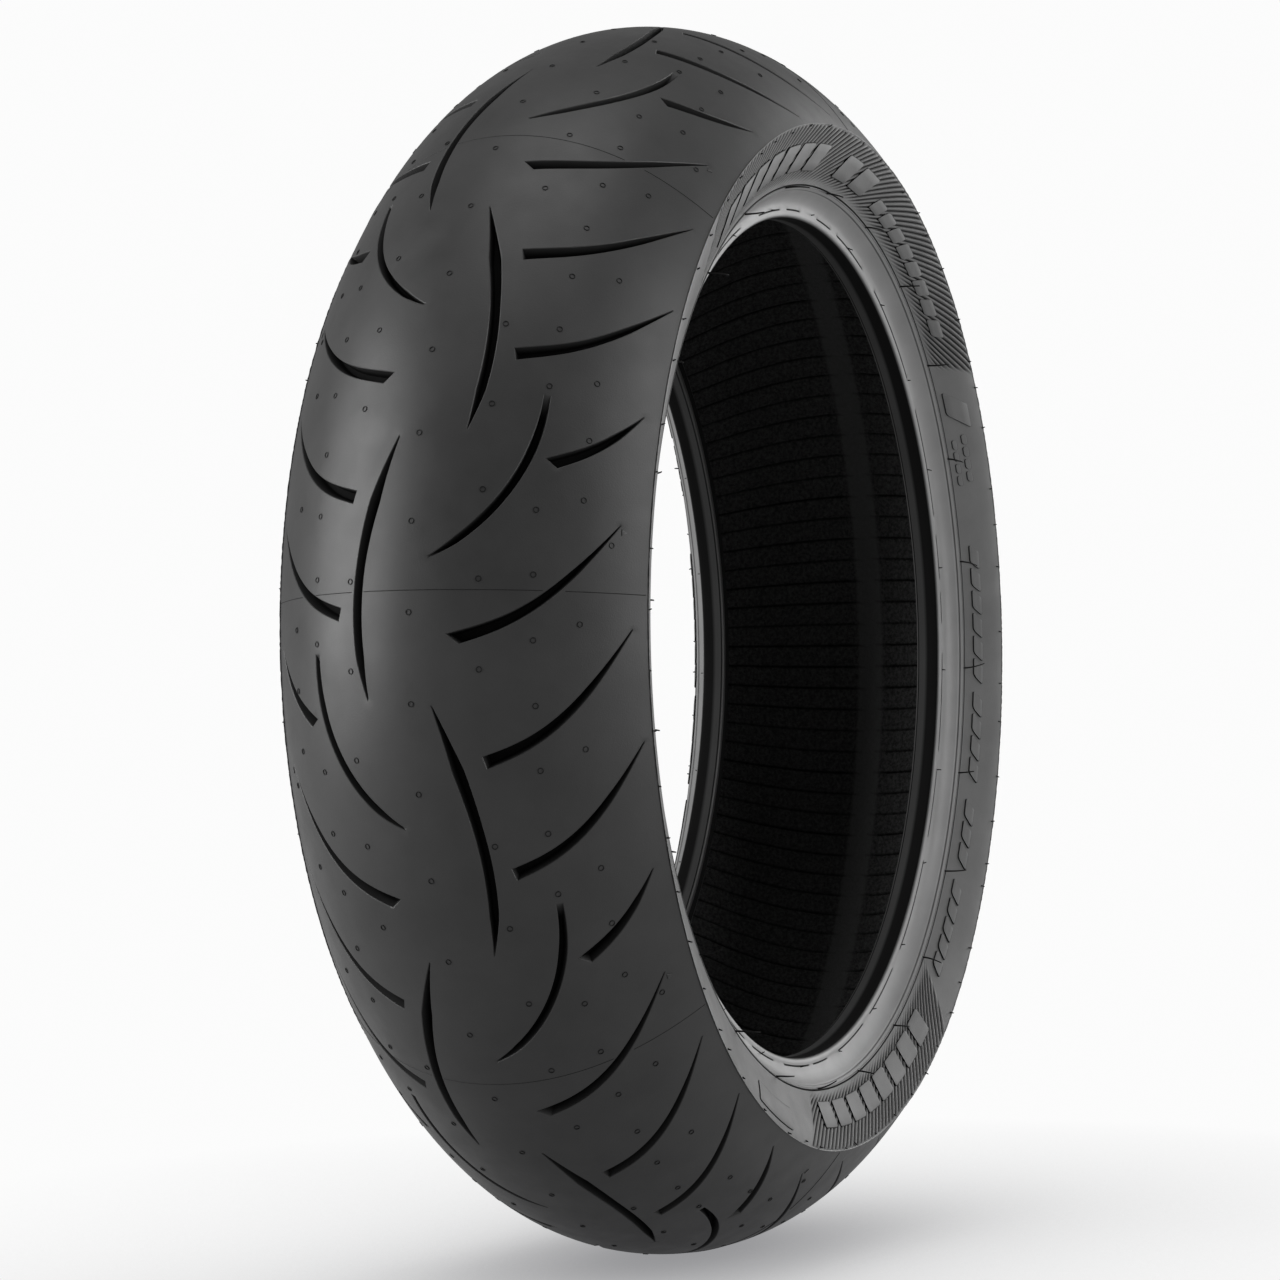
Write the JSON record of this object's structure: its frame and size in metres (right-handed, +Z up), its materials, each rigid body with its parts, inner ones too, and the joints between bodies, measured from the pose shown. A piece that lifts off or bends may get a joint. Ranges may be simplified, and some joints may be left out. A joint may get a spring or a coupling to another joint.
{
  "type": "motorcycle tire",
  "caption": "Loose radial rear tire for a motorcycle: rounded directional tread with curved grooves, short sidewalls, belted carcass inside and a cylindrical seat in each bead.",
  "frame": {"origin": "centre of the wheel, on the axle line at the tire's mid plane", "axes": "+Y along the axle towards the tire's left side, +Z up, +X the way the tire rolls"},
  "size_m": [0.6409, 0.19, 0.641],
  "materials": {
    "tread_rubber": "satin moulded rubber, dark grey",
    "sidewall_rubber": "smooth matt moulded rubber, mid grey",
    "bead_rubber": "smooth hard rubber, lighter grey",
    "liner_rubber": "matt black, ribbed by the curing bladder",
    "base_rubber": "uncut black rubber, sealed inside",
    "filler_rubber": "hard black rubber, sealed inside",
    "belt_cord": "spiral of brass-coated steel cord, bedded in rubber",
    "carcass_cord": "rubbered textile cord",
    "wrap_cloth": "rubbered square-woven textile",
    "bead_wire": "bronze-coated steel wire"
  },
  "bodies": {
    "root": {"tread_cap": "tread_rubber", "tread_base": "base_rubber", "zero_degree_belt": "belt_cord", "belt_edge_strip_left": "base_rubber", "belt_edge_strip_right": "base_rubber", "carcass_ply_outer": "carcass_cord", "carcass_ply_inner": "carcass_cord", "inner_liner": "liner_rubber", "sidewall_left": "sidewall_rubber", "sidewall_right": "sidewall_rubber", "rim_strip_left": "bead_rubber", "rim_strip_right": "bead_rubber", "toe_strip_left": "liner_rubber", "toe_strip_right": "liner_rubber", "bead_filler_left": "filler_rubber", "bead_filler_right": "filler_rubber", "bead_wrap_left": "wrap_cloth", "bead_wrap_right": "wrap_cloth", "bead_core_left": "bead_wire", "bead_core_right": "bead_wire"}
  },
  "joints": []
}
